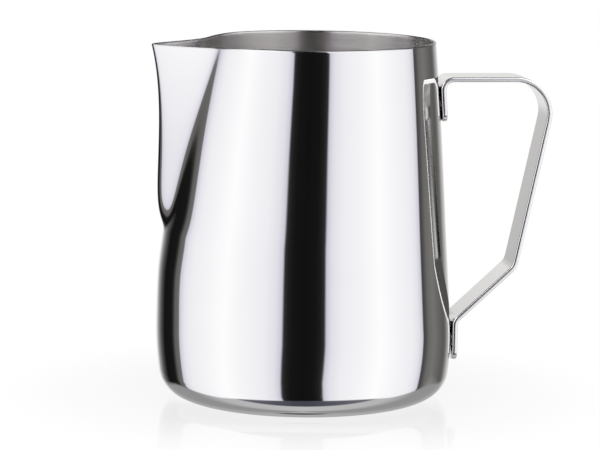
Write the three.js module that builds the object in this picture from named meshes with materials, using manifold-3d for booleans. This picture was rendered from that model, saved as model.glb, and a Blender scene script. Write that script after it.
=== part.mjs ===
// Milk frothing pitcher, about 600 ml: a deep-drawn stainless steel jug with a pressed pouring
// spout, and a bent flat-strap handle spot-welded to its wall.
//
// Frame: millimetres, +Z up. The origin is the centre of the flat base, on the table. The spout
// points along -X and the handle stands off along +X, so the XZ plane is the plane of symmetry.

import * as THREE from 'three';
import { mergeVertices } from 'three/addons/utils/BufferGeometryUtils.js';
import Module from 'manifold-3d';

// ---------------------------------------------------------------- driving dimensions

// Jug body: flat base, rounded corner, low belly, cone, then a slightly steeper neck.
const HEIGHT = 110;
const SHEET = 0.8;
const BASE_RADIUS = 36.2;
const CORNER_RADIUS = 8.7;
const BELLY_RADIUS = 80;
const NECK_START = 80;
const NECK_RADIUS = 1500;
const CONE_ANGLE = rad(3.69);
const BELLY_TILT = rad(7.5);

// Spout: a V pressed out of the wall, between two creases where the wall is pinched in. The pinch
// deepens towards the rim and fades out round the jug.
const SPOUT_START = 51.2;
const SPOUT_REACH = 3.55;
const SPOUT_LIP_FLARE = 4.75;
const SPOUT_HALF_ANGLE = rad(33.1);
const SPOUT_SPREAD_POWER = 0.58;
const SPOUT_FOOT_LENGTH = 0.1;
const SPOUT_RIM_DIP = 1.06;
const SPOUT_DIP_ANGLE = rad(46.4);
const KEEL_ROUND = rad(2.5);
const PINCH_DEPTH = 1.72;
const PINCH_DEEPENING = 2.84;
const PINCH_POWER = 1.63;
const PINCH_FADE = rad(30);
const CREASE_ROUND = 1.36;

// Pressing the spout leaves the wall under its foot slightly swollen.
const SWELL = { depth: 1, z: 38.3, above: 11.6, below: 18, spread: rad(35) };

// Handle: one strap, bent in its own plane.
const STRAP_WIDTH = 15;
const STRAP_THICKNESS = 1.5;
const STRAP_TOP_Z = 99.2;
const STRAP_KNUCKLE = { x: 77.3, radius: 10.75 };
const STRAP_ELBOW = { x: 64.8, z: 40.2, radius: 5 };
const STRAP_TOE_Z = 23.3;
const STRAP_TAB_BEND = 3.2;
const STRAP_END_CORNER = 3;
const UPPER_TAB_BOTTOM = 85.4;
const UPPER_TAB_SEAT = 91;
const LOWER_TAB_BOTTOM = 11;
const TAB_GAP = 0.15;

// Spot welds: two in each tab, side by side.
const WELD_RADIUS = 2;
const WELD_SPACING = 7;
const WELD_DEPTH = 0.9;
const WELD_CLEARANCE = 0.3;
const UPPER_WELD_Z = 90.5;
const LOWER_WELD_Z = 17.5;

// Mesh density.
const SPOUT_STEP = rad(4);
const BODY_STEP = rad(6);
const SPOUT_SIDE = rad(60);
const WELD_SIDES = 20;

function rad(degrees) {
  return degrees * Math.PI / 180;
}

// ---------------------------------------------------------------- jug body profile

// The outside profile runs from the flat base through a corner arc and a belly arc to the cone.
const cornerEnd = {
  r: BASE_RADIUS + CORNER_RADIUS * Math.cos(BELLY_TILT),
  z: CORNER_RADIUS * (1 - Math.sin(BELLY_TILT)),
};
const bellyTop = {
  r: cornerEnd.r + BELLY_RADIUS * (Math.cos(CONE_ANGLE) - Math.cos(BELLY_TILT)),
  z: cornerEnd.z + BELLY_RADIUS * (Math.sin(BELLY_TILT) + Math.sin(CONE_ANGLE)),
};

// Outside radius of the plain round wall at height z, from the corner's end up to the rim.
function wallRadius(z) {
  if (z < bellyTop.z) {
    const sine = Math.sin(BELLY_TILT) - (z - cornerEnd.z) / BELLY_RADIUS;
    return cornerEnd.r + BELLY_RADIUS * (Math.sqrt(1 - sine * sine) - Math.cos(BELLY_TILT));
  }
  const cone = bellyTop.r - (z - bellyTop.z) * Math.tan(CONE_ANGLE);
  const neck = Math.max(0, z - NECK_START);
  return cone - neck * neck / (2 * NECK_RADIUS);
}

function wallSlope(z) {
  const step = 0.01;
  return (wallRadius(z + step) - wallRadius(z - step)) / (2 * step);
}

// Profile stations from the edge of the flat base to the rim.
function profileStations() {
  const stations = [{ r: BASE_RADIUS, z: 0 }];
  const cornerSweep = Math.PI / 2 - BELLY_TILT;
  const cornerSteps = 5;
  for (let i = 1; i <= cornerSteps; i += 1) {
    const angle = cornerSweep * i / cornerSteps;
    stations.push({
      r: BASE_RADIUS + CORNER_RADIUS * Math.sin(angle),
      z: CORNER_RADIUS * (1 - Math.cos(angle)),
    });
  }
  const wallSteps = (from, to, count) => {
    for (let i = 1; i <= count; i += 1) {
      const z = from + (to - from) * i / count;
      stations.push({ r: wallRadius(z), z });
    }
  };
  wallSteps(cornerEnd.z, bellyTop.z, 3);
  wallSteps(bellyTop.z, SPOUT_START, 4);
  wallSteps(SPOUT_START, SPOUT_START + 12, 4);
  wallSteps(SPOUT_START + 12, HEIGHT, 7);
  return stations;
}

// ---------------------------------------------------------------- spout

function smoothMax(a, b, round) {
  return (a + b + Math.sqrt((a - b) ** 2 + round * round)) / 2;
}

// Radius of the wall at height z and at the angle away from the spout's axis. The spout's flank
// is a straight line in plan, from the rounded keel to the crease; past the crease the wall
// springs back from its pinch to the round.
function spoutedRadius(z, angle) {
  const fromSwell = (z - SWELL.z) / (z > SWELL.z ? SWELL.above : SWELL.below);
  const swell = SWELL.depth * Math.exp(-(fromSwell ** 2) - (angle / SWELL.spread) ** 2);
  const round = wallRadius(z) + swell;
  const rise = (z - SPOUT_START) / (HEIGHT - SPOUT_START);
  if (rise <= 0) return round;
  const formed = rise ** 2 / (rise ** 2 + SPOUT_FOOT_LENGTH ** 2);
  const crease = KEEL_ROUND + (SPOUT_HALF_ANGLE - KEEL_ROUND) * rise ** SPOUT_SPREAD_POWER;
  const keelRadius = round + SPOUT_REACH * formed + SPOUT_LIP_FLARE * rise ** 4;
  const pinch = (PINCH_DEPTH + PINCH_DEEPENING * rise ** PINCH_POWER) * formed;
  const creaseRadius = round - pinch;

  const flankNormal = Math.atan2(
    keelRadius * Math.cos(KEEL_ROUND) - creaseRadius * Math.cos(crease),
    creaseRadius * Math.sin(crease) - keelRadius * Math.sin(KEEL_ROUND),
  );
  const flankDistance = keelRadius * Math.cos(flankNormal - KEEL_ROUND);
  const roundedAngle = Math.hypot(angle, KEEL_ROUND);
  const flank = flankDistance / Math.cos(Math.min(0, roundedAngle - flankNormal));

  const pastCrease = Math.max(angle - crease, -PINCH_FADE);
  const pinched = round - pinch * Math.exp(-pastCrease / PINCH_FADE);
  return smoothMax(flank, pinched, CREASE_ROUND * formed);
}

// A point on the jug's outside. Angle 0 is the handle's side and half a turn is the spout.
function outsidePoint(station, angle) {
  const fromSpout = Math.abs(Math.PI - angle);
  const radius = station.z > cornerEnd.z ? spoutedRadius(station.z, fromSpout) : station.r;
  const dip = SPOUT_RIM_DIP * Math.exp(-((fromSpout / SPOUT_DIP_ANGLE) ** 4));
  const height = Math.max(0, station.z - SPOUT_START) / (HEIGHT - SPOUT_START);
  return new THREE.Vector3(
    radius * Math.cos(angle),
    radius * Math.sin(angle),
    station.z - dip * height ** 2,
  );
}

// ---------------------------------------------------------------- mesh helpers

// Joins equal rings of points into one closed body; the first and last rings end on a pole.
function loftBetweenPoles(firstPole, rings, lastPole) {
  const count = rings[0].length;
  const points = [firstPole, ...rings.flat(), lastPole];
  const last = points.length - 1;
  const at = (ring, i) => 1 + ring * count + (i % count);
  const index = [];
  for (let i = 0; i < count; i += 1) {
    index.push(0, at(0, i + 1), at(0, i));
    index.push(last, at(rings.length - 1, i), at(rings.length - 1, i + 1));
    for (let ring = 0; ring < rings.length - 1; ring += 1) {
      index.push(at(ring, i), at(ring, i + 1), at(ring + 1, i + 1));
      index.push(at(ring, i), at(ring + 1, i + 1), at(ring + 1, i));
    }
  }
  return indexedGeometry(points, index);
}

// Joins equal rings of points into one closed body with a flat cap at each end.
function loftWithCaps(rings) {
  const count = rings[0].length;
  const points = rings.flat();
  const at = (ring, i) => ring * count + (i % count);
  const index = [];
  for (let ring = 0; ring < rings.length - 1; ring += 1) {
    for (let i = 0; i < count; i += 1) {
      index.push(at(ring, i), at(ring, i + 1), at(ring + 1, i + 1));
      index.push(at(ring, i), at(ring + 1, i + 1), at(ring + 1, i));
    }
  }
  for (let i = 1; i < count - 1; i += 1) {
    index.push(at(0, 0), at(0, i + 1), at(0, i));
    index.push(at(rings.length - 1, 0), at(rings.length - 1, i), at(rings.length - 1, i + 1));
  }
  return indexedGeometry(points, index);
}

function indexedGeometry(points, index) {
  const geometry = new THREE.BufferGeometry();
  const positions = points.flatMap((p) => [p.x, p.y, p.z]);
  geometry.setAttribute('position', new THREE.Float32BufferAttribute(positions, 3));
  geometry.setIndex(index);
  return geometry;
}

const wasm = await Module();
wasm.setup();

function toSolid(geometry) {
  const bare = geometry.clone();
  bare.deleteAttribute('normal');
  bare.deleteAttribute('uv');
  const merged = mergeVertices(bare, 1e-5);
  return new wasm.Manifold(new wasm.Mesh({
    numProp: 3,
    vertProperties: new Float32Array(merged.attributes.position.array),
    triVerts: new Uint32Array(merged.index.array),
  }));
}

function toGeometry(solid) {
  const mesh = solid.getMesh();
  const geometry = new THREE.BufferGeometry();
  const positions = new Float32Array(mesh.vertProperties);
  geometry.setAttribute('position', new THREE.BufferAttribute(positions, 3));
  geometry.setIndex(new THREE.BufferAttribute(new Uint32Array(mesh.triVerts), 1));
  geometry.computeVertexNormals();
  return geometry;
}

// ---------------------------------------------------------------- vessel

// Angles round the jug, closer together over the spout.
function ringAngles() {
  const angles = [];
  const bodyHalf = Math.PI - SPOUT_SIDE;
  const bodySteps = Math.round(bodyHalf / BODY_STEP);
  const spoutSteps = Math.round(2 * SPOUT_SIDE / SPOUT_STEP);
  for (let i = 0; i < bodySteps; i += 1) angles.push(bodyHalf * i / bodySteps);
  for (let i = 0; i < spoutSteps; i += 1) angles.push(bodyHalf + 2 * SPOUT_SIDE * i / spoutSteps);
  for (let i = 0; i < bodySteps; i += 1) angles.push(Math.PI + SPOUT_SIDE + bodyHalf * i / bodySteps);
  return angles;
}

// The inside is the outside moved in by the sheet, square to the surface.
function vesselGeometry() {
  const stations = profileStations();
  const angles = ringAngles();
  const outside = stations.map((station) => angles.map((angle) => outsidePoint(station, angle)));
  const inside = outside.map((ring, row) => ring.map((point, column) => {
    const count = ring.length;
    const along = new THREE.Vector3().subVectors(
      ring[(column + 1) % count],
      ring[(column + count - 1) % count],
    );
    const below = row === 0 ? new THREE.Vector3() : outside[row - 1][column];
    const above = outside[Math.min(row + 1, outside.length - 1)][column];
    const up = new THREE.Vector3().subVectors(above, below);
    const normal = along.cross(up).normalize();
    const moved = point.clone().addScaledVector(normal, -SHEET);
    if (row === 0) moved.z = SHEET;
    if (row === outside.length - 1) moved.z = point.z;
    return moved;
  }));
  return loftBetweenPoles(
    new THREE.Vector3(0, 0, 0),
    [...outside, ...inside.reverse()],
    new THREE.Vector3(0, 0, SHEET),
  );
}

// ---------------------------------------------------------------- strap handle

// Centre line of the strap in the XZ plane: straight runs joined by tangent bends.
function strapCorners() {
  const half = STRAP_THICKNESS / 2;
  const topZ = STRAP_TOP_Z - half;
  const seat = wallRadius(UPPER_TAB_SEAT) + TAB_GAP + half;
  const seatX = (z) => seat + wallSlope(UPPER_TAB_SEAT) * (z - UPPER_TAB_SEAT);
  const bellyZ = cornerEnd.z + BELLY_RADIUS * Math.sin(BELLY_TILT);
  const lowerX = wallRadius(bellyZ) + TAB_GAP + half;
  return [
    { x: seatX(UPPER_TAB_BOTTOM), z: UPPER_TAB_BOTTOM, radius: 0 },
    { x: seatX(topZ), z: topZ, radius: STRAP_TAB_BEND },
    { x: STRAP_KNUCKLE.x, z: topZ, radius: STRAP_KNUCKLE.radius },
    { x: STRAP_ELBOW.x, z: STRAP_ELBOW.z, radius: STRAP_ELBOW.radius },
    { x: lowerX, z: STRAP_TOE_Z, radius: STRAP_TAB_BEND },
    { x: lowerX, z: LOWER_TAB_BOTTOM, radius: 0 },
  ];
}

// Points and directions along the centre line, with each corner rounded by its own arc.
function strapStations() {
  const corners = strapCorners().map((c) => ({ point: new THREE.Vector2(c.x, c.z), radius: c.radius }));
  const stations = [];
  const push = (point, direction) => stations.push({ point, direction });
  for (let i = 1; i < corners.length - 1; i += 1) {
    const { point, radius } = corners[i];
    const before = new THREE.Vector2().subVectors(point, corners[i - 1].point).normalize();
    const after = new THREE.Vector2().subVectors(corners[i + 1].point, point).normalize();
    const turn = Math.atan2(before.cross(after), before.dot(after));
    const start = point.clone().addScaledVector(before, -radius * Math.tan(Math.abs(turn) / 2));
    const side = new THREE.Vector2(-before.y, before.x).multiplyScalar(Math.sign(turn));
    const centre = start.clone().addScaledVector(side, radius);
    const steps = Math.ceil(Math.abs(turn) / rad(9));
    if (i === 1) push(corners[0].point, before);
    for (let step = 0; step <= steps; step += 1) {
      const angle = turn * step / steps;
      const direction = before.clone().rotateAround(new THREE.Vector2(), angle);
      push(start.clone().rotateAround(centre, angle), direction);
    }
    if (i === corners.length - 2) push(corners[i + 1].point, after);
  }
  return stations;
}

// Rounds the two corners of a strap end: extra stations whose half width follows a quarter circle.
function roundedEnd(end, inwards) {
  const steps = 5;
  const stations = [];
  for (let i = 0; i <= steps; i += 1) {
    const angle = Math.PI / 2 * i / steps;
    stations.push({
      point: end.point.clone().addScaledVector(inwards, STRAP_END_CORNER * (1 - Math.cos(angle))),
      direction: end.direction,
      halfWidth: STRAP_WIDTH / 2 - STRAP_END_CORNER * (1 - Math.sin(angle)),
    });
  }
  return stations;
}

function strapGeometry() {
  const line = strapStations();
  const first = line[0];
  const last = line[line.length - 1];
  const stations = [
    ...roundedEnd(first, first.direction),
    ...line.slice(1, -1),
    ...roundedEnd(last, last.direction.clone().negate()).reverse(),
  ];
  const half = STRAP_THICKNESS / 2;
  const rings = stations.map(({ point, direction, halfWidth = STRAP_WIDTH / 2 }) => {
    const left = new THREE.Vector2(-direction.y, direction.x);
    const corner = (across, width) => new THREE.Vector3(
      point.x + left.x * across,
      width,
      point.y + left.y * across,
    );
    return [
      corner(half, -halfWidth),
      corner(-half, -halfWidth),
      corner(-half, halfWidth),
      corner(half, halfWidth),
    ];
  });
  return loftWithCaps(rings);
}

// ---------------------------------------------------------------- spot welds

// One weld: where it sits, and the outward direction of the tab's face there.
function weldSeats() {
  const upper = { z: UPPER_WELD_Z, tilt: Math.atan(-wallSlope(UPPER_TAB_SEAT)), name: 'weld_upper' };
  const lower = { z: LOWER_WELD_Z, tilt: 0, name: 'weld_lower' };
  const seats = [];
  for (const tab of [upper, lower]) {
    for (const side of [-1, 1]) {
      const y = side * WELD_SPACING / 2;
      const x = wallRadius(tab.z) + TAB_GAP;
      seats.push({
        name: `${tab.name}_${side < 0 ? 'right' : 'left'}`,
        position: new THREE.Vector3(x, y, tab.z),
        outward: new THREE.Vector3(Math.cos(tab.tilt), 0, Math.sin(tab.tilt)),
      });
    }
  }
  return seats;
}

function discAt(seat, radius, from, to) {
  const disc = new THREE.CylinderGeometry(radius, radius, to - from, WELD_SIDES);
  const turn = new THREE.Quaternion().setFromUnitVectors(new THREE.Vector3(0, 1, 0), seat.outward);
  disc.applyQuaternion(turn);
  const centre = seat.position.clone().addScaledVector(seat.outward, (from + to) / 2);
  disc.translate(centre.x, centre.y, centre.z);
  return disc;
}

// Each tab has a shallow pocket for each weld, open towards the wall.
function strapWithPockets(seats) {
  let strap = toSolid(strapGeometry());
  for (const seat of seats) {
    const pocket = discAt(seat, WELD_RADIUS + WELD_CLEARANCE, -TAB_GAP, WELD_DEPTH + WELD_CLEARANCE);
    strap = strap.subtract(toSolid(pocket));
  }
  return toGeometry(strap);
}

// ---------------------------------------------------------------- assembly

const mirrorSteel = new THREE.MeshStandardMaterial({ color: 0xd4d5d8, roughness: 0.06, metalness: 1 });
const satinSteel = new THREE.MeshStandardMaterial({ color: 0xc9c8c5, roughness: 0.32, metalness: 1 });
const weldSteel = new THREE.MeshStandardMaterial({ color: 0xa9a7a3, roughness: 0.5, metalness: 1 });

const pitcher = new THREE.Group();

function addPart(name, geometry, material) {
  geometry.computeVertexNormals();
  const mesh = new THREE.Mesh(geometry, material);
  mesh.name = name;
  pitcher.add(mesh);
}

const seats = weldSeats();
addPart('vessel', vesselGeometry(), mirrorSteel);
addPart('handle_strap', strapWithPockets(seats), satinSteel);
for (const seat of seats) {
  addPart(seat.name, discAt(seat, WELD_RADIUS, 0, WELD_DEPTH), weldSteel.clone());
}

export default pitcher;
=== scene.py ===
"""A milk frothing pitcher: mirror-polished steel jug with a pressed spout and a satin strap handle.

Lengths named below are in millimetres and become metres when a mesh is made.
+Z is up, the spout points along -X and the handle stands off along +X.
"""

import math

import bpy
import numpy as np
from mathutils import Matrix, Vector


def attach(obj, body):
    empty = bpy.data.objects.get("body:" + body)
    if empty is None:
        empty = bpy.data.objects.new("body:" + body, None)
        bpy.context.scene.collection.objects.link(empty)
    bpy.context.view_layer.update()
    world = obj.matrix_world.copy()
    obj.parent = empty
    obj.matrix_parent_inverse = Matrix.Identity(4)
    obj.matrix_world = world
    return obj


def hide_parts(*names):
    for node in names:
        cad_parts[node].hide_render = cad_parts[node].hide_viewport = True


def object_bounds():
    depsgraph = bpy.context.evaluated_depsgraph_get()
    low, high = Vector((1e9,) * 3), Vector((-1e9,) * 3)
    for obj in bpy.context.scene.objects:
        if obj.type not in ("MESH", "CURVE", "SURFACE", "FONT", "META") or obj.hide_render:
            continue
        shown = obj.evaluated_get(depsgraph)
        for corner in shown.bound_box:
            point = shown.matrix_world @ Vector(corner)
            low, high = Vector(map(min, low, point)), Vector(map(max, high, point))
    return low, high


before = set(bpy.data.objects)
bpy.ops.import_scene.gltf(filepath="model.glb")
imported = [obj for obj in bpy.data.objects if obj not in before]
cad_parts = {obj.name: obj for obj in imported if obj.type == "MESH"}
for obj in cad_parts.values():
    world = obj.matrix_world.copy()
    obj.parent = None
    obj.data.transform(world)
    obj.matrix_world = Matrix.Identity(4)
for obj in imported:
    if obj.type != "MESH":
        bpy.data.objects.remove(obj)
cad_low, cad_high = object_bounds()

MM = 0.001
rad = math.radians

# ---------------------------------------------------------------- jug dimensions

HEIGHT = cad_high.z / MM
SHEET = 0.8
BASE_RADIUS = 36.2
CORNER_RADIUS = 8.7
BELLY_RADIUS = 80.0
NECK_START = 80.0
NECK_RADIUS = 1500.0
CONE_ANGLE = rad(3.69)
BELLY_TILT = rad(7.5)

SPOUT_START = 51.2
SPOUT_REACH = 3.55
SPOUT_LIP_FLARE = 4.75
SPOUT_HALF_ANGLE = rad(33.1)
SPOUT_SPREAD_POWER = 0.58
SPOUT_FOOT_LENGTH = 0.1
SPOUT_RIM_DIP = 1.06
SPOUT_DIP_ANGLE = rad(46.4)
KEEL_ROUND = rad(2.5)
PINCH_DEPTH = 1.72
PINCH_DEEPENING = 2.84
PINCH_POWER = 1.63
PINCH_FADE = rad(30)
CREASE_ROUND = 1.36

SWELL_DEPTH = 1.0
SWELL_Z = 38.3
SWELL_ABOVE = 11.6
SWELL_BELOW = 18.0
SWELL_SPREAD = rad(35)

# ---------------------------------------------------------------- handle dimensions

STRAP_WIDTH = 15.0
STRAP_THICKNESS = 1.5
STRAP_EDGE = 0.35
STRAP_TOP_Z = 99.2
STRAP_KNUCKLE = (77.3, 10.75)
STRAP_ELBOW = (64.8, 40.2, 5.0)
STRAP_TOE_Z = 23.3
STRAP_TAB_BEND = 3.2
STRAP_END_CORNER = 3.0
UPPER_TAB_BOTTOM = 85.4
UPPER_TAB_SEAT = 91.0
LOWER_TAB_BOTTOM = 11.0
TAB_GAP = 0.15

WELD_RADIUS = 2.0
WELD_SPACING = 7.0
WELD_DIMPLE = 0.12
WELD_DIMPLE_STEEPNESS = 2.5
WELD_SIDES = 48
WELD_PROFILE = (
    (2.1, -0.08), (1.9, 0.0), (1.78, TAB_GAP / 2), (1.85, TAB_GAP), (2.0, TAB_GAP + 0.1),
)
TAB_REACH = 3.0  # a tab's centre line lies within this of the corner's end radius
UPPER_WELD_Z = 90.5
LOWER_WELD_Z = 17.5

# ---------------------------------------------------------------- mesh helpers


def make_object(name, points, faces):
    """A smooth-shaded object from points in millimetres."""
    mesh = bpy.data.meshes.new(name)
    mesh.from_pydata([tuple(p * MM) for p in points], [], faces)
    mesh.polygons.foreach_set("use_smooth", [True] * len(mesh.polygons))
    mesh.update()
    obj = bpy.data.objects.new(name, mesh)
    bpy.context.scene.collection.objects.link(obj)
    return obj


def ring_faces(rings, count, first=0):
    """Quads between equal closed rings of points, numbered ring after ring."""
    faces = []
    for ring in range(rings - 1):
        low = first + ring * count
        for i in range(count):
            j = (i + 1) % count
            faces.append((low + i, low + j, low + count + j, low + count + i))
    return faces


def add_uv(obj, uv_of_vertex):
    """A UV map from one (u, v) for each vertex."""
    layer = obj.data.uv_layers.new(name="UVMap")
    loops = np.empty(len(obj.data.loops), np.int32)
    obj.data.loops.foreach_get("vertex_index", loops)
    layer.data.foreach_set("uv", uv_of_vertex[loops].astype(np.float32).ravel())


# ---------------------------------------------------------------- jug shape

CORNER_END_R = BASE_RADIUS + CORNER_RADIUS * math.cos(BELLY_TILT)
CORNER_END_Z = CORNER_RADIUS * (1 - math.sin(BELLY_TILT))
BELLY_TOP_R = CORNER_END_R + BELLY_RADIUS * (math.cos(CONE_ANGLE) - math.cos(BELLY_TILT))
BELLY_TOP_Z = CORNER_END_Z + BELLY_RADIUS * (math.sin(BELLY_TILT) + math.sin(CONE_ANGLE))


def wall_radius(z):
    """Outside radius of the plain round wall at height z, from the corner's end up."""
    z = np.asarray(z, float)
    sine = np.clip(math.sin(BELLY_TILT) - (z - CORNER_END_Z) / BELLY_RADIUS, -1, 1)
    belly = CORNER_END_R + BELLY_RADIUS * (np.sqrt(1 - sine**2) - math.cos(BELLY_TILT))
    cone = BELLY_TOP_R - (z - BELLY_TOP_Z) * math.tan(CONE_ANGLE)
    neck = np.maximum(0, z - NECK_START) ** 2 / (2 * NECK_RADIUS)
    return np.where(z < BELLY_TOP_Z, belly, cone - neck)


def wall_slope(z, step=0.01):
    """How fast the plain wall's radius changes with height."""
    return float(wall_radius(z + step) - wall_radius(z - step)) / (2 * step)


def smooth_max(a, b, round_):
    """The larger of a and b, with the corner where they cross rounded off."""
    return (a + b + np.sqrt((a - b) ** 2 + round_**2)) / 2


def spouted_radius(z, angle):
    """Radius of the wall at height z and at that angle away from the spout's axis.

    The spout's flank is straight in plan, from the rounded keel to the crease. Past the crease
    the wall springs back from its pinch to the round.
    """
    from_swell = (z - SWELL_Z) / np.where(z > SWELL_Z, SWELL_ABOVE, SWELL_BELOW)
    swell = SWELL_DEPTH * np.exp(-(from_swell**2) - (angle / SWELL_SPREAD) ** 2)
    plain = wall_radius(z) + swell
    rise = np.clip((z - SPOUT_START) / (HEIGHT - SPOUT_START), 1e-6, None)
    formed = rise**2 / (rise**2 + SPOUT_FOOT_LENGTH**2)
    crease = KEEL_ROUND + (SPOUT_HALF_ANGLE - KEEL_ROUND) * rise**SPOUT_SPREAD_POWER
    keel_radius = plain + SPOUT_REACH * formed + SPOUT_LIP_FLARE * rise**4
    pinch = (PINCH_DEPTH + PINCH_DEEPENING * rise**PINCH_POWER) * formed
    crease_radius = plain - pinch

    flank_normal = np.arctan2(
        keel_radius * math.cos(KEEL_ROUND) - crease_radius * np.cos(crease),
        crease_radius * np.sin(crease) - keel_radius * math.sin(KEEL_ROUND),
    )
    flank_distance = keel_radius * np.cos(flank_normal - KEEL_ROUND)
    rounded_angle = np.hypot(angle, KEEL_ROUND)
    flank = flank_distance / np.cos(np.minimum(0, rounded_angle - flank_normal))

    past_crease = np.maximum(angle - crease, -PINCH_FADE)
    pinched = plain - pinch * np.exp(-past_crease / PINCH_FADE)
    spouted = smooth_max(flank, pinched, CREASE_ROUND * formed)
    return np.where(z <= SPOUT_START, plain, spouted)


def outside_points(radius, z, angle):
    """Points on the jug's outside. Angle 0 is the handle's side and half a turn is the spout."""
    from_spout = np.abs(math.pi - angle)
    radius = np.where(z > CORNER_END_Z, spouted_radius(z, from_spout), radius)
    dip = SPOUT_RIM_DIP * np.exp(-((from_spout / SPOUT_DIP_ANGLE) ** 4))
    height = np.maximum(0, z - SPOUT_START) / (HEIGHT - SPOUT_START)
    return np.stack(
        [radius * np.cos(angle), radius * np.sin(angle), z - dip * height**2], axis=-1
    )


def surface_normals(points):
    """Outward normals of a grid of points, rings from the foot up by columns round the jug."""
    around = np.roll(points, -1, axis=1) - np.roll(points, 1, axis=1)
    up = np.gradient(points, axis=0)
    normal = np.cross(around, up)
    return normal / np.linalg.norm(normal, axis=-1, keepdims=True)


# ---------------------------------------------------------------- jug mesh

COLUMNS = 720
FLAT_START = 0.1
FLAT_RINGS = 10
CORNER_RINGS = 28
WALL_RINGS = 230
RIM_RINGS = 6


def profile_stations():
    """Radius and height of each ring, from near the middle of the base to the rim."""
    flat = BASE_RADIUS * np.linspace(FLAT_START, 1, FLAT_RINGS, endpoint=False)
    sweep = np.linspace(0, math.pi / 2 - BELLY_TILT, CORNER_RINGS)
    corner_r = BASE_RADIUS + CORNER_RADIUS * np.sin(sweep)
    corner_z = CORNER_RADIUS * (1 - np.cos(sweep))
    wall_z = np.linspace(CORNER_END_Z, HEIGHT - SHEET / 2, WALL_RINGS)[1:]
    radius = np.concatenate([flat, corner_r, wall_radius(wall_z)])
    z = np.concatenate([np.zeros_like(flat), corner_z, wall_z])
    return radius, z


def vessel_rings():
    """Rings of points: outside from the base up, over the rounded rim, and inside back down."""
    radius, z = profile_stations()
    angle = np.linspace(0, 2 * math.pi, COLUMNS, endpoint=False)
    outside = outside_points(radius[:, None], z[:, None], angle[None, :])
    normal = surface_normals(outside)
    normal[z == 0] = (0, 0, -1)
    inside = outside - SHEET * normal
    across = inside[-1] - outside[-1]
    across[:, 2] = 0
    rim = []
    for turn in np.linspace(0, math.pi, RIM_RINGS + 2)[1:-1]:
        lift = np.array([0, 0, SHEET / 2 * math.sin(turn)])
        rim.append(outside[-1] + across * (1 - math.cos(turn)) / 2 + lift)
    inside[-1] = outside[-1] + across
    return np.concatenate([outside, rim, inside[::-1]]), len(outside)


def vessel_faces(ring_count, outside_count, last):
    """The sheet's faces and, for each, its material: 0 outside, 1 rim, 2 inside."""
    faces = ring_faces(ring_count, COLUMNS, first=1)
    material = np.zeros(len(faces), int)
    face_ring = np.repeat(np.arange(ring_count - 1), COLUMNS)
    material[face_ring >= outside_count - 1] = 1
    material[face_ring >= outside_count + RIM_RINGS] = 2
    for i in range(COLUMNS):
        j = (i + 1) % COLUMNS
        faces.append((0, 1 + j, 1 + i))
        faces.append((last, last - COLUMNS + i, last - COLUMNS + j))
    return faces, np.concatenate([material, np.tile([0, 2], COLUMNS)])


def build_vessel():
    """The jug as one closed sheet."""
    rings, outside_count = vessel_rings()
    points = np.concatenate([[(0, 0, 0)], rings.reshape(-1, 3), [(0, 0, SHEET)]])
    faces, material = vessel_faces(len(rings), outside_count, len(points) - 1)
    vessel = make_object("jug", points, faces)
    vessel.data.materials.append(polished_steel())
    vessel.data.materials.append(rim_steel())
    vessel.data.materials.append(brushed_inside())
    vessel.data.polygons.foreach_set("material_index", material.astype(np.int32))
    turn = np.arctan2(points[:, 1], points[:, 0]) / (2 * math.pi) % 1.0
    add_uv(vessel, np.stack([turn, points[:, 2] / HEIGHT], axis=-1))
    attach(vessel, "root")
    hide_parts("vessel")


# ---------------------------------------------------------------- strap handle


def strap_corners():
    """Corners of the strap's centre line in the XZ plane, each with its bend radius."""
    half = STRAP_THICKNESS / 2
    top_z = STRAP_TOP_Z - half
    seat = float(wall_radius(UPPER_TAB_SEAT)) + TAB_GAP + half
    slope = wall_slope(UPPER_TAB_SEAT)
    belly_z = CORNER_END_Z + BELLY_RADIUS * math.sin(BELLY_TILT)
    lower_x = float(wall_radius(belly_z)) + TAB_GAP + half
    return [
        (seat + slope * (UPPER_TAB_BOTTOM - UPPER_TAB_SEAT), UPPER_TAB_BOTTOM, 0),
        (seat + slope * (top_z - UPPER_TAB_SEAT), top_z, STRAP_TAB_BEND),
        (STRAP_KNUCKLE[0], top_z, STRAP_KNUCKLE[1]),
        STRAP_ELBOW,
        (lower_x, STRAP_TOE_Z, STRAP_TAB_BEND),
        (lower_x, LOWER_TAB_BOTTOM, 0),
    ]


def strap_centre_line(step=0.5):
    """Points and directions along the centre line, with each corner rounded by its own arc."""
    corners = strap_corners()
    points, directions = [], []

    def straight(start, end):
        length = (end - start).length
        count = max(1, round(length / step))
        for i in range(count):
            points.append(start.lerp(end, i / count))
            directions.append((end - start).normalized())

    here = Vector(corners[0][:2])
    for i in range(1, len(corners) - 1):
        corner = Vector(corners[i][:2])
        radius = corners[i][2]
        before = (corner - Vector(corners[i - 1][:2])).normalized()
        after = (Vector(corners[i + 1][:2]) - corner).normalized()
        turn = math.atan2(before.x * after.y - before.y * after.x, before.dot(after))
        start = corner - before * radius * math.tan(abs(turn) / 2)
        straight(here, start)
        side = Vector((-before.y, before.x)) * math.copysign(1, turn)
        centre = start + side * radius
        count = max(6, round(abs(turn) * radius / step))
        for k in range(count):
            spin = Matrix.Rotation(turn * k / count, 2)
            points.append(centre + spin @ (start - centre))
            directions.append(spin @ before)
        spin = Matrix.Rotation(turn, 2)
        here = centre + spin @ (start - centre)
    end = Vector(corners[-1][:2])
    straight(here, end)
    points.append(end)
    directions.append((end - here).normalized())
    return np.array(points), np.array(directions)


def end_stations():
    """Distances from a tab's end, close together over its eased edge and rounded corners."""
    eased = STRAP_EDGE * (1 - np.cos(np.linspace(0, math.pi / 2, 6)))
    corner = STRAP_END_CORNER * (1 - np.cos(np.linspace(0.35, math.pi / 2, 12)))
    return np.unique(np.concatenate([eased, corner[corner > STRAP_EDGE + 0.02]]))


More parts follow.
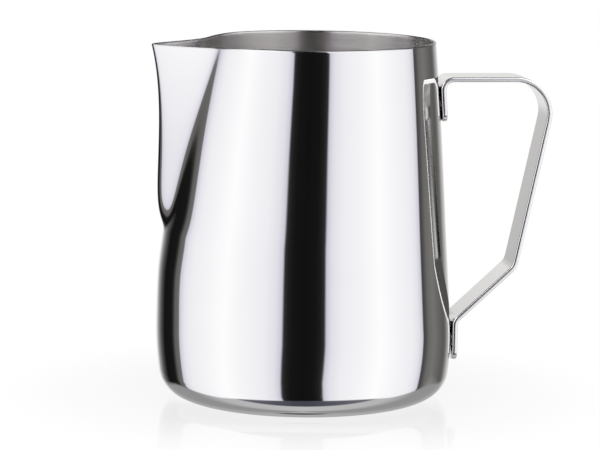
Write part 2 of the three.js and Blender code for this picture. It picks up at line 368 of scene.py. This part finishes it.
def eased(distance):
    """How far the face lies below flat, that far in from the outline."""
    short = np.clip(STRAP_EDGE - distance, 0, STRAP_EDGE)
    return STRAP_EDGE - np.sqrt(STRAP_EDGE**2 - short**2)


def strap_stations():
    """Stations along the strap: distance, centre and left-hand side of each, and the length."""
    points, directions = strap_centre_line()
    along = np.concatenate([[0], np.cumsum(np.linalg.norm(np.diff(points, axis=0), axis=1))])
    length = along[-1]
    ends = end_stations()
    middle = along[(along > ends[-1] + 0.2) & (along < length - ends[-1] - 0.2)]
    stations = np.concatenate([ends, middle, length - ends[::-1]])
    centre = np.stack([np.interp(stations, along, points[:, k]) for k in (0, 1)], axis=-1)
    heading = np.stack([np.interp(stations, along, directions[:, k]) for k in (0, 1)], axis=-1)
    heading /= np.linalg.norm(heading, axis=1, keepdims=True)
    left = np.stack([-heading[:, 1], heading[:, 0]], axis=-1)
    return stations, centre, left, length


def strap_rings(stations, centre, left, length):
    """Closed section of the strap at each station, with eased edges and rounded tab ends."""
    to_end = np.minimum(stations, length - stations)
    inset = np.clip(STRAP_END_CORNER - to_end, 0, None)
    half_width = STRAP_WIDTH / 2 - STRAP_END_CORNER + np.sqrt(STRAP_END_CORNER**2 - inset**2)

    edge = STRAP_EDGE * (1 - np.cos(np.linspace(0, math.pi / 2, 6)))
    from_edge = np.concatenate([edge, np.linspace(STRAP_EDGE, STRAP_WIDTH / 2, 20)[1:]])
    rings = []
    for k in range(len(stations)):
        reach = from_edge * half_width[k] / (STRAP_WIDTH / 2)
        width = half_width[k] - reach
        across = np.concatenate([-width, width[-2::-1]])
        corner_x = np.clip(np.abs(across) - (STRAP_WIDTH / 2 - STRAP_END_CORNER), 0, None)
        corner_s = np.clip(STRAP_END_CORNER - to_end[k], 0, None)
        side = STRAP_WIDTH / 2 - np.abs(across)
        round_corner = STRAP_END_CORNER - np.hypot(corner_x, corner_s)
        in_corner = (corner_x > 0) & (corner_s > 0)
        inward = np.where(in_corner, round_corner, np.minimum(side, to_end[k]))
        height = STRAP_THICKNESS / 2 - eased(np.clip(inward, 0, None))
        upper = height - weld_dimple(centre[k], across)
        ring_across = np.concatenate([across, across[::-1]])
        ring_height = np.concatenate([upper, -height[::-1]])
        rings.append(
            np.stack(
                [
                    centre[k, 0] - left[k, 0] * ring_height,
                    ring_across,
                    centre[k, 1] - left[k, 1] * ring_height,
                ],
                axis=-1,
            )
        )
    return np.array(rings)


def strap_faces(count, ring_count):
    """The strap's long faces, and the strip that closes each end."""
    faces = ring_faces(count, ring_count)
    for base, flip in ((0, False), ((count - 1) * ring_count, True)):
        for i in range(ring_count // 2 - 1):
            a, b = base + i, base + i + 1
            c, d = base + ring_count - 2 - i, base + ring_count - 1 - i
            faces.append((a, b, c, d) if flip else (d, c, b, a))
    return faces


def build_strap():
    """The handle: one strap, bent along its centre line."""
    stations, centre, left, length = strap_stations()
    rings = strap_rings(stations, centre, left, length)
    ring_count = rings.shape[1]
    half = ring_count // 2
    strap = make_object("handle", rings.reshape(-1, 3), strap_faces(len(rings), ring_count))
    strap.data.materials.append(satin_steel())
    u = np.repeat(stations / length, ring_count)
    once_round = np.concatenate([np.linspace(0, 0.5, half), np.linspace(0.5, 1, half)])
    v = np.tile(once_round, len(rings))
    add_uv(strap, np.stack([u, v], axis=-1))
    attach(strap, "root")
    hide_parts("handle_strap")


def weld_dimple(centre, across):
    """Depth of the electrode marks on a tab's outer face, at that height and across the strap."""
    depth = np.zeros_like(across)
    for weld_z in (UPPER_WELD_Z, LOWER_WELD_Z):
        for side in (-1, 1):
            reach = np.hypot(across - side * WELD_SPACING / 2, centre[1] - weld_z)
            dish = np.clip(1 - (reach / WELD_RADIUS) ** 2, 0, 1)
            if centre[0] < CORNER_END_R + TAB_REACH:
                depth += WELD_DIMPLE * np.minimum(1, WELD_DIMPLE_STEEPNESS * dish)
    return depth


# ---------------------------------------------------------------- spot welds


def build_weld(name, side, z, slope):
    """A fused nugget that bridges the gap between the wall and a tab, waisted between them."""
    outward = Vector((1, 0, -slope)).normalized()
    start = Vector((float(wall_radius(z)), side * WELD_SPACING / 2, z))
    turn = outward.to_track_quat("Z", "Y").to_matrix()
    points = [start + outward * WELD_PROFILE[0][1]]
    for r, h in WELD_PROFILE:
        for i in range(WELD_SIDES):
            a = 2 * math.pi * i / WELD_SIDES
            points.append(start + turn @ Vector((r * math.cos(a), r * math.sin(a), h)))
    points.append(start + outward * WELD_PROFILE[-1][1])
    last = len(points) - 1
    faces = ring_faces(len(WELD_PROFILE), WELD_SIDES, first=1)
    for i in range(WELD_SIDES):
        j = (i + 1) % WELD_SIDES
        faces.append((0, 1 + j, 1 + i))
        faces.append((last, last - WELD_SIDES + i, last - WELD_SIDES + j))
    weld = make_object(name, np.array(points), faces)
    weld.data.materials.append(weld_steel())
    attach(weld, "root")
    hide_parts(name)
    weld.name = "nugget_" + name


# ---------------------------------------------------------------- node helpers


def new_material(name):
    """A material with only a Principled shader, and its node tree and shader."""
    material = bpy.data.materials.new(name)
    material.use_nodes = True
    tree = material.node_tree
    return material, tree, tree.nodes["Principled BSDF"]


def node(tree, kind, **settings):
    """A new node with those settings."""
    made = tree.nodes.new(kind)
    for key, value in settings.items():
        setattr(made, key, value)
    return made


def math_node(tree, operation, *values):
    """A math node; each value is a number or a socket. Returns its output."""
    made = node(tree, "ShaderNodeMath", operation=operation)
    for socket, value in zip(made.inputs, values):
        if isinstance(value, bpy.types.NodeSocket):
            tree.links.new(value, socket)
        else:
            socket.default_value = value
    return made.outputs[0]


def length_node(tree, a, b):
    """Square root of a * a + b * b."""
    a_squared = math_node(tree, "MULTIPLY", a, a)
    b_squared = math_node(tree, "MULTIPLY", b, b)
    return math_node(tree, "SQRT", math_node(tree, "ADD", a_squared, b_squared))


def remap(tree, value, low, high, to_low=0.0, to_high=1.0, smooth=False):
    """value taken from low..high to to_low..to_high, and held there outside."""
    made = node(tree, "ShaderNodeMapRange")
    made.interpolation_type = "SMOOTHSTEP" if smooth else "LINEAR"
    tree.links.new(value, made.inputs["Value"])
    made.inputs["From Min"].default_value = low
    made.inputs["From Max"].default_value = high
    made.inputs["To Min"].default_value = to_low
    made.inputs["To Max"].default_value = to_high
    return made.outputs["Result"]


def ramp(tree, value, stops):
    """A colour ramp over 0..1; stops are (place, colour)."""
    made = node(tree, "ShaderNodeValToRGB")
    tree.links.new(value, made.inputs["Fac"])
    elements = made.color_ramp.elements
    while len(elements) > 1:
        elements.remove(elements[-1])
    elements[0].position, elements[0].color = stops[0][0], (*stops[0][1], 1)
    for place, colour in stops[1:]:
        elements.new(place).color = (*colour, 1)
    return made.outputs["Color"]


def mix_colour(tree, factor, a, b):
    """Colour a where the factor is 0, b where it is 1; each is a colour or a socket."""
    made = node(tree, "ShaderNodeMix", data_type="RGBA")
    for socket, value in ((made.inputs[0], factor), (made.inputs[6], a), (made.inputs[7], b)):
        if isinstance(value, bpy.types.NodeSocket):
            tree.links.new(value, socket)
        elif socket.type == "RGBA":
            socket.default_value = (*value, 1)
        else:
            socket.default_value = value
    return made.outputs[2]


def streaks(tree, scale, detail=4.0):
    """Fine noise drawn out across the axes whose scale is low, in object coordinates."""
    coordinates = node(tree, "ShaderNodeTexCoord")
    mapping = node(tree, "ShaderNodeMapping")
    mapping.inputs["Scale"].default_value = scale
    noise = node(tree, "ShaderNodeTexNoise")
    noise.inputs["Scale"].default_value = 1.0
    noise.inputs["Detail"].default_value = detail
    tree.links.new(coordinates.outputs["Object"], mapping.inputs["Vector"])
    tree.links.new(mapping.outputs["Vector"], noise.inputs["Vector"])
    return noise.outputs["Fac"]


def turned_streaks(tree, along=30.0, across=2600.0):
    """Fine noise drawn out round the Z axis, on walls and floors alike."""
    coordinates = node(tree, "ShaderNodeTexCoord")
    axes = node(tree, "ShaderNodeSeparateXYZ")
    tree.links.new(coordinates.outputs["Object"], axes.inputs["Vector"])
    x, y, z = axes.outputs
    height_and_radius = math_node(tree, "ADD", z, length_node(tree, x, y))
    place = node(tree, "ShaderNodeCombineXYZ")
    tree.links.new(math_node(tree, "MULTIPLY", x, along), place.inputs["X"])
    tree.links.new(math_node(tree, "MULTIPLY", y, along), place.inputs["Y"])
    tree.links.new(math_node(tree, "MULTIPLY", height_and_radius, across), place.inputs["Z"])
    noise = node(tree, "ShaderNodeTexNoise")
    noise.inputs["Scale"].default_value = 1.0
    noise.inputs["Detail"].default_value = 6.0
    tree.links.new(place.outputs["Vector"], noise.inputs["Vector"])
    return noise.outputs["Fac"]


def grey(level):
    """Linear light for a display level from 0 to 1."""
    return level / 12.92 if level <= 0.04045 else ((level + 0.055) / 1.055) ** 2.4


def neutral(level):
    """Colourless linear light for a display level."""
    return (grey(level),) * 3


# ---------------------------------------------------------------- materials

STEEL = (0.90, 0.90, 0.905)


def polished_steel():
    """Mirror polish with the faint haze and drawing lines that buffing leaves."""
    material, tree, shader = new_material("polished_steel")
    shader.inputs["Metallic"].default_value = 1.0
    haze = streaks(tree, (14, 14, 30), detail=3)
    tint = ramp(tree, haze, [(0.3, tuple(0.985 * c for c in STEEL)), (0.7, STEEL)])
    tree.links.new(tint, shader.inputs["Base Color"])
    tree.links.new(remap(tree, haze, 0.3, 0.75, 0.025, 0.06), shader.inputs["Roughness"])
    bump = node(tree, "ShaderNodeBump")
    bump.inputs["Strength"].default_value = 0.02
    bump.inputs["Distance"].default_value = 0.00002
    tree.links.new(streaks(tree, (40, 40, 1500)), bump.inputs["Height"])
    tree.links.new(bump.outputs["Normal"], shader.inputs["Normal"])
    return material


def rim_steel():
    """The cut edge, ground round and lightly polished."""
    material, tree, shader = new_material("rim_steel")
    shader.inputs["Metallic"].default_value = 1.0
    grain = streaks(tree, (500, 500, 4000))
    tint = ramp(tree, grain, [(0.3, neutral(0.64)), (0.7, neutral(0.72))])
    tree.links.new(tint, shader.inputs["Base Color"])
    tree.links.new(remap(tree, grain, 0.3, 0.7, 0.18, 0.3), shader.inputs["Roughness"])
    return material


def brushed_inside():
    """Inside finish: brushed round the jug, so that it spreads reflections up and down."""
    material, tree, shader = new_material("brushed_inside")
    shader.inputs["Metallic"].default_value = 1.0
    shader.inputs["Anisotropic"].default_value = 1.0
    shader.inputs["Anisotropic Rotation"].default_value = 0.25
    lines = turned_streaks(tree)
    tree.links.new(
        ramp(tree, lines, [(0.35, (0.84, 0.82, 0.81)), (0.65, (0.92, 0.90, 0.89))]),
        shader.inputs["Base Color"],
    )
    tree.links.new(remap(tree, lines, 0.3, 0.7, 0.24, 0.27), shader.inputs["Roughness"])
    tangent = node(tree, "ShaderNodeTangent", direction_type="UV_MAP", uv_map="UVMap")
    tree.links.new(tangent.outputs["Tangent"], shader.inputs["Tangent"])
    bump = node(tree, "ShaderNodeBump")
    bump.inputs["Strength"].default_value = 0.06
    bump.inputs["Distance"].default_value = 0.00003
    tree.links.new(lines, bump.inputs["Height"])
    tree.links.new(bump.outputs["Normal"], shader.inputs["Normal"])
    return material


def satin_steel():
    """Satin strap, brushed along its length."""
    material, tree, shader = new_material("satin_steel")
    shader.inputs["Metallic"].default_value = 1.0
    shader.inputs["Anisotropic"].default_value = 0.8
    grain = streaks(tree, (60, 2600, 60), detail=5)
    tree.links.new(
        ramp(tree, grain, [(0.3, (0.93, 0.92, 0.90)), (0.7, (1.0, 0.99, 0.97))]),
        shader.inputs["Base Color"],
    )
    tree.links.new(remap(tree, grain, 0.3, 0.7, 0.12, 0.18), shader.inputs["Roughness"])
    tangent = node(tree, "ShaderNodeTangent", direction_type="UV_MAP", uv_map="UVMap")
    tree.links.new(tangent.outputs["Tangent"], shader.inputs["Tangent"])
    bump = node(tree, "ShaderNodeBump")
    bump.inputs["Strength"].default_value = 0.1
    bump.inputs["Distance"].default_value = 0.00003
    tree.links.new(grain, bump.inputs["Height"])
    tree.links.new(bump.outputs["Normal"], shader.inputs["Normal"])
    return material


def weld_steel():
    """Fused steel, dull and slightly heat-stained."""
    material, tree, shader = new_material("weld_steel")
    shader.inputs["Metallic"].default_value = 1.0
    mottle = streaks(tree, (900, 900, 900))
    tree.links.new(
        ramp(tree, mottle, [(0.3, (0.30, 0.27, 0.24)), (0.7, (0.48, 0.46, 0.45))]),
        shader.inputs["Base Color"],
    )
    tree.links.new(remap(tree, mottle, 0.3, 0.7, 0.4, 0.6), shader.inputs["Roughness"])
    return material


def floor_surface():
    """White lit table with a gloss that fades out away from the jug's foot."""
    material, tree, shader = new_material("white_table")
    output = tree.nodes["Material Output"]
    shader.inputs["Base Color"].default_value = (0.02, 0.02, 0.02, 1)
    shader.inputs["Specular IOR Level"].default_value = 0.0
    shader.inputs["Roughness"].default_value = 1.0
    shader.inputs["Emission Color"].default_value = (1, 1, 1, 1)
    shader.inputs["Emission Strength"].default_value = 0.99
    gloss = node(tree, "ShaderNodeBsdfGlossy")
    gloss.inputs["Roughness"].default_value = 0.03
    coordinates = node(tree, "ShaderNodeTexCoord")
    distance = node(tree, "ShaderNodeVectorMath", operation="LENGTH")
    tree.links.new(coordinates.outputs["Object"], distance.inputs[0])
    share = remap(tree, distance.outputs["Value"], 0.036, 0.105, 0.21, 0.0, smooth=True)
    mixed = node(tree, "ShaderNodeMixShader")
    tree.links.new(share, mixed.inputs["Fac"])
    tree.links.new(shader.outputs["BSDF"], mixed.inputs[1])
    tree.links.new(gloss.outputs["BSDF"], mixed.inputs[2])
    tree.links.new(mixed.outputs["Shader"], output.inputs["Surface"])
    return material


# ---------------------------------------------------------------- studio

STUDIO_TURN = rad(7)
LIGHT = 1.1
SOFTBOX_BOTTOM = -40.0
SOFTBOX_TOP = 46.0


def softbox(level):
    """Softbox light of a display level: faintly violet where it is dimmer."""
    dim = 1 - level
    return (grey(level), grey(level - 0.05 * dim), grey(min(1, level + 0.18 * dim)))


def warm(level):
    """Dim room light of a display level, slightly warm."""
    return (grey(level * 1.02), grey(level), grey(level * 0.975))


def around(stops):
    """Ramp stops from (degrees from the front, colour)."""
    return [(degrees / 180, colour) for degrees, colour in stops]


def softbox_stops(start, end):
    """One softbox's brightness between two azimuths: brightest at the middle."""
    width = end - start
    profile = ((0, 0.80), (0.05, 0.89), (0.15, 0.94), (0.32, 0.965), (0.5, 1.0),
               (0.7, 0.965), (0.86, 0.94), (0.94, 0.90), (1, 0.80))
    return [(start + width * place, softbox(level)) for place, level in profile]


def studio_axes(tree):
    """The direction looked in, as x, y and z of a studio turned to face the camera."""
    coordinates = node(tree, "ShaderNodeTexCoord")
    turned = node(tree, "ShaderNodeVectorRotate", rotation_type="Z_AXIS")
    turned.inputs["Angle"].default_value = STUDIO_TURN
    tree.links.new(coordinates.outputs["Generated"], turned.inputs["Vector"])
    axes = node(tree, "ShaderNodeSeparateXYZ")
    tree.links.new(turned.outputs["Vector"], axes.inputs["Vector"])
    return axes.outputs


def studio_angles(tree, x, y, z):
    """Azimuth from the front and elevation, in degrees, with the softboxes' lean taken off."""
    front = math_node(tree, "MULTIPLY", y, -1.0)
    azimuth = math_node(tree, "DEGREES", math_node(tree, "ARCTAN2", x, front))
    elevation = math_node(tree, "DEGREES", math_node(tree, "ARCSINE", z))
    lean = remap(tree, elevation, -20, 4, -1.4, 0.7)
    higher = remap(tree, elevation, 6, 22, 0.0, -7.0)
    azimuth = math_node(tree, "SUBTRACT", azimuth, math_node(tree, "ADD", lean, higher))
    widening = math_node(
        tree, "MULTIPLY",
        remap(tree, elevation, -38, -20, 2.6, 0.0),
        math_node(tree, "GREATER_THAN", azimuth, 0.0),
    )
    return math_node(tree, "SUBTRACT", azimuth, widening), elevation


def studio_walls(tree, azimuth, place):
    """The dark gap in front, a softbox at each side of it, and the room behind."""
    gap = [(0, neutral(0.065)), (9, neutral(0.08)), (13, neutral(0.12)), (15.8, neutral(0.2))]
    right_room = [(107.4, neutral(0.25)), (111, neutral(0.31)), (115, warm(0.41)),
                  (123, warm(0.45)), (133, warm(0.39)), (142, warm(0.34)),
                  (147, warm(0.40)), (157, neutral(0.68)), (168, neutral(0.83)),
                  (180, neutral(0.86))]
    left_room = [(111.8, warm(0.42)), (117.5, warm(0.36)), (120, warm(0.20)),
                 (123, neutral(0.09)), (137, neutral(0.075)), (140, neutral(0.17)),
                 (147, warm(0.34)), (157, neutral(0.62)), (164, neutral(0.86)),
                 (180, neutral(0.86))]
    right = ramp(tree, place, around(gap + softbox_stops(17.2, 106.5) + right_room))
    left = ramp(tree, place, around(gap + softbox_stops(17.2, 110.6) + left_room))
    return mix_colour(tree, math_node(tree, "GREATER_THAN", azimuth, 0.0), left, right)


def studio_unlit(tree, elevation, turned_away):
    """Where the room is unlit: overhead, and high up behind the jug."""
    high_behind = math_node(
        tree, "MULTIPLY",
        remap(tree, elevation, 13, 21, smooth=True),
        remap(tree, turned_away, 113, 125, smooth=True),
    )
    overhead = remap(tree, elevation, SOFTBOX_TOP, SOFTBOX_TOP + 6, smooth=True)
    return math_node(tree, "MAXIMUM", high_behind, overhead)


def studio_table(tree, x, y, z, place):
    """The table as the jug reflects it, painted into the world: lit, with painted shade towards the
    front and a painted shadow of the jug below it.
    """
    table = ramp(tree, place, around(
        [(0, neutral(0.73)), (85, neutral(0.71)), (112, neutral(0.56)), (145, neutral(0.57)),
         (165, neutral(0.66)), (180, neutral(0.66))]
    ))
    side_reach = math_node(tree, "ABSOLUTE", x)
    shade = ramp(tree, side_reach, [(0.1, (grey(0.27), grey(0.27), grey(0.31))),
                                    (0.75, (grey(0.43), grey(0.43), grey(0.47)))])
    table_edge = math_node(tree, "ADD", y, math_node(tree, "MULTIPLY", z, -0.45))
    below = mix_colour(tree, remap(tree, table_edge, -0.04, 0.04), shade, table)
    # painted shadow of the jug where it stands on the reflected table
    contact = length_node(tree, x, math_node(tree, "MULTIPLY_ADD", y, 1.3, -0.47))
    return mix_colour(tree, remap(tree, contact, 0.09, 0.15), neutral(0.28), below)


def studio_world():
    """Two tall softboxes with a dark gap between them, and a dim room behind the jug."""
    world = bpy.data.worlds.new("studio")
    bpy.context.scene.world = world
    world.use_nodes = True
    tree = world.node_tree
    tree.nodes.clear()
    x, y, z = studio_axes(tree)
    azimuth, elevation = studio_angles(tree, x, y, z)
    turned_away = math_node(tree, "ABSOLUTE", azimuth)
    place = math_node(tree, "DIVIDE", turned_away, 180.0)

    walls = studio_walls(tree, azimuth, place)
    upper = mix_colour(tree, studio_unlit(tree, elevation, turned_away), walls, neutral(0.2))
    below = studio_table(tree, x, y, z, place)
    risen = SOFTBOX_BOTTOM + 20
    bottom = math_node(
        tree, "ADD",
        remap(tree, turned_away, 78, 128, SOFTBOX_BOTTOM, risen, smooth=True),
        math_node(tree, "MULTIPLY", x, 3.0),
    )
    over_bottom = math_node(tree, "SUBTRACT", elevation, bottom)
    studio = mix_colour(tree, remap(tree, over_bottom, -2, 2), below, upper)

    lights = node(tree, "ShaderNodeBackground")
    tree.links.new(studio, lights.inputs["Color"])
    brighter = remap(tree, elevation, 10, 23, 1.0, 2.3, smooth=True)
    tree.links.new(math_node(tree, "MULTIPLY", brighter, LIGHT), lights.inputs["Strength"])
    backdrop = node(tree, "ShaderNodeBackground")
    backdrop.inputs["Color"].default_value = (1, 1, 1, 1)
    rays = node(tree, "ShaderNodeLightPath")
    chosen = node(tree, "ShaderNodeMixShader")
    tree.links.new(rays.outputs["Is Camera Ray"], chosen.inputs["Fac"])
    tree.links.new(lights.outputs["Background"], chosen.inputs[1])
    tree.links.new(backdrop.outputs["Background"], chosen.inputs[2])
    output = node(tree, "ShaderNodeOutputWorld")
    tree.links.new(chosen.outputs["Shader"], output.inputs["Surface"])


def build_floor(half=900.0, rings=24, sides=64):
    """A round white table top, flat and wide."""
    points = [np.zeros(3)]
    for k in range(1, rings + 1):
        r = half * (k / rings) ** 2
        for i in range(sides):
            a = 2 * math.pi * i / sides
            points.append(np.array([r * math.cos(a), r * math.sin(a), 0.0]))
    faces = ring_faces(rings, sides, first=1)
    faces += [(0, 1 + i, 1 + (i + 1) % sides) for i in range(sides)]
    floor = make_object("table", np.array(points), faces)
    floor.location.z = -0.00005
    floor.data.materials.append(floor_surface())
    floor.visible_glossy = False
    floor.visible_shadow = False


# ---------------------------------------------------------------- camera

CAMERA_AZIMUTH = rad(7.1)
CAMERA_DISTANCE = 0.8798
CAMERA_HEIGHT = 0.1814
CAMERA_YAW = rad(7.0)
CAMERA_PITCH = rad(8.32)
CAMERA_ROLL = rad(0.62)
LENS = 172.6


def build_camera():
    """A long lens a little above the rim, turned slightly towards the spout's side."""
    data = bpy.data.cameras.new("camera")
    data.lens = LENS
    data.sensor_width = 36.0
    data.clip_start = 0.01
    data.clip_end = 50.0
    camera = bpy.data.objects.new("camera", data)
    bpy.context.scene.collection.objects.link(camera)
    camera.location = (
        -CAMERA_DISTANCE * math.sin(CAMERA_AZIMUTH),
        -CAMERA_DISTANCE * math.cos(CAMERA_AZIMUTH),
        CAMERA_HEIGHT,
    )
    turn = Matrix.Rotation(-CAMERA_YAW, 4, "Z")
    tip = Matrix.Rotation(math.pi / 2 - CAMERA_PITCH, 4, "X")
    roll = Matrix.Rotation(CAMERA_ROLL, 4, "Z")
    camera.rotation_euler = (turn @ tip @ roll).to_euler()
    bpy.context.scene.camera = camera


# ---------------------------------------------------------------- build

build_camera()
studio_world()
build_floor()
build_vessel()
build_strap()
for tab, weld_z, slope in (
    ("upper", UPPER_WELD_Z, wall_slope(UPPER_TAB_SEAT)),
    ("lower", LOWER_WELD_Z, 0.0),
):
    build_weld(f"weld_{tab}_right", -1, weld_z, slope)
    build_weld(f"weld_{tab}_left", 1, weld_z, slope)

bpy.context.scene.view_settings.view_transform = "Standard"
